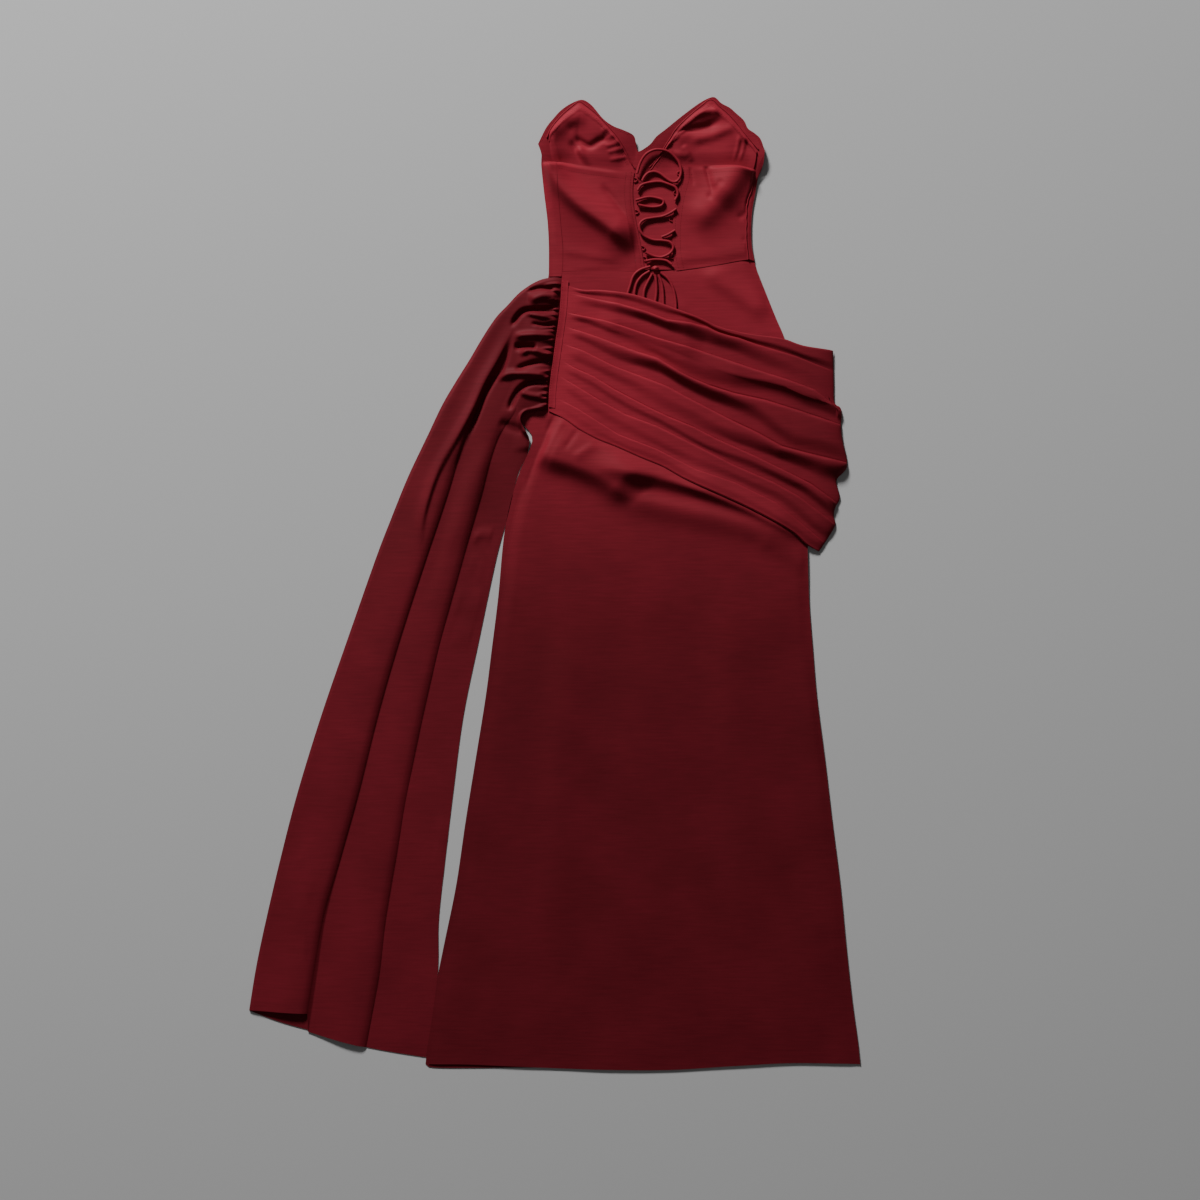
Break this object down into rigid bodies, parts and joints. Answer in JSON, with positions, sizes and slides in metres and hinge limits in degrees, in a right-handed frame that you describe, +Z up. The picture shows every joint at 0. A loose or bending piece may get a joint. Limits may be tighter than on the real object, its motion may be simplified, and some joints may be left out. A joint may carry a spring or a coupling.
{
  "type": "corset dress",
  "caption": "Strapless corset dress in dark red satin laid flat back up: laced back, pleated hip drape, gathered side train and floor-length skirt.",
  "frame": {"origin": "middle of the laid dress's bounding box, on the surface that it lies on", "axes": "+Y along the dress from hem to bust, +X across it to the right as seen from above with the back upwards, +Z up out of the surface"},
  "size_m": [0.916, 1.4569, 0.0153],
  "materials": {
    "satin": "soft matt satin, dark red",
    "lining": "smooth lining satin, dark red",
    "rouleau": "turned satin cord, dark red"
  },
  "bodies": {
    "root": {"front_bodice": "satin", "front_skirt": "satin", "back_left": "satin", "back_right": "satin", "side_panel_left": "satin", "side_panel_right": "satin", "back_skirt": "satin", "drape_back": "satin", "drape_front": "satin", "seam_strip": "satin", "train": "satin", "cup_lining_left": "lining", "cup_lining_right": "lining", "front_lining": "lining", "lace_1": "rouleau", "lace_2": "rouleau", "lace_3": "rouleau", "lace_4": "rouleau", "lace_5": "rouleau", "lace_6": "rouleau", "bow_knot": "rouleau", "bow_loop_1": "rouleau", "bow_loop_2": "rouleau", "bow_tail_1": "rouleau", "bow_tail_2": "rouleau", "lacing_loop_left_1": "rouleau", "lacing_loop_left_2": "rouleau", "lacing_loop_left_3": "rouleau", "lacing_loop_left_4": "rouleau", "lacing_loop_left_5": "rouleau", "lacing_loop_right_1": "rouleau", "lacing_loop_right_2": "rouleau", "lacing_loop_right_3": "rouleau", "lacing_loop_right_4": "rouleau", "lacing_loop_right_5": "rouleau", "neckline_piping_left": "rouleau", "neckline_piping_right": "rouleau", "side_zip": "rouleau"}
  },
  "joints": []
}
